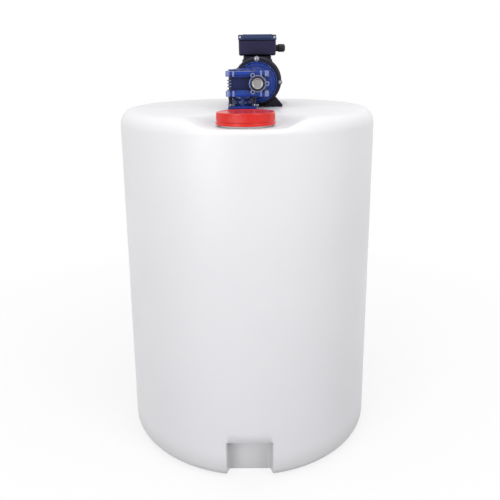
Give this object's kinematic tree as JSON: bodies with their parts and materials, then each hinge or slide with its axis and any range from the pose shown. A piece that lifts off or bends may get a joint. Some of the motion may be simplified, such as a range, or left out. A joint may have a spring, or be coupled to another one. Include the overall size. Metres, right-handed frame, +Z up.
{
  "type": "mixing tank",
  "caption": "Upright round plastic tank with a red screw lid at the front of its deck and a geared motor that drives an agitator inside.",
  "frame": {"origin": "centre of the tank's round outline, on the floor", "axes": "+Z up along the tank's axis, -Y towards the front with the lid and the base recess, +X to the right seen from the front"},
  "size_m": [0.82, 0.82, 1.32],
  "materials": {
    "tank_plastic": "smooth moulded plastic, slightly translucent white",
    "lid_plastic": "moulded red plastic",
    "seal_rubber": "black rubber",
    "gearbox_paint": "gloss blue paint on cast metal",
    "motor_paint": "gloss navy paint on cast metal",
    "box_lid_paint": "satin blue-grey paint",
    "bright_cap": "bright turned metal",
    "black_plastic": "black moulded plastic",
    "stainless_steel": "turned stainless steel"
  },
  "bodies": {
    "tank": {"wall_front": "tank_plastic", "wall_front_right": "tank_plastic", "wall_right": "tank_plastic", "wall_back_right": "tank_plastic", "wall_back": "tank_plastic", "wall_back_left": "tank_plastic", "wall_left": "tank_plastic", "wall_front_left": "tank_plastic", "tank_base": "tank_plastic", "base_recess": "tank_plastic", "tank_top": "tank_plastic", "filling_neck": "tank_plastic", "output_flange": "gearbox_paint", "spacer_posts": "motor_paint", "gearbox_bottom_cover": "gearbox_paint", "gearbox_housing": "gearbox_paint", "gearbox_top_cover": "gearbox_paint", "worm_bearing_cover": "motor_paint", "worm_end_cap": "bright_cap", "input_flange": "gearbox_paint", "motor_front_shield": "motor_paint", "motor_body": "motor_paint", "motor_feet": "motor_paint", "motor_rear_shield": "motor_paint", "fan_cowl": "motor_paint", "motor_fan": "black_plastic", "terminal_box_neck": "motor_paint", "terminal_box": "motor_paint", "terminal_box_lid": "box_lid_paint", "cable_gland": "black_plastic", "gland_nut": "black_plastic"},
    "lid": {"lid": "lid_plastic", "lid_seal": "seal_rubber"},
    "agitator": {"agitator_shaft": "stainless_steel", "shaft_coupling": "stainless_steel", "impeller_hub": "stainless_steel", "impeller_blades": "stainless_steel"}
  },
  "joints": [
    {"name": "lid_lift", "type": "slide", "parent": "tank", "child": "lid", "axis": [0, 0, 1], "range_m": [0, 0.2]},
    {"name": "agitator_spin", "type": "hinge", "parent": "tank", "child": "agitator", "pos_m": [-0.014, -0.105, 0.22], "axis": [0, 0, 1], "continuous": true}
  ]
}
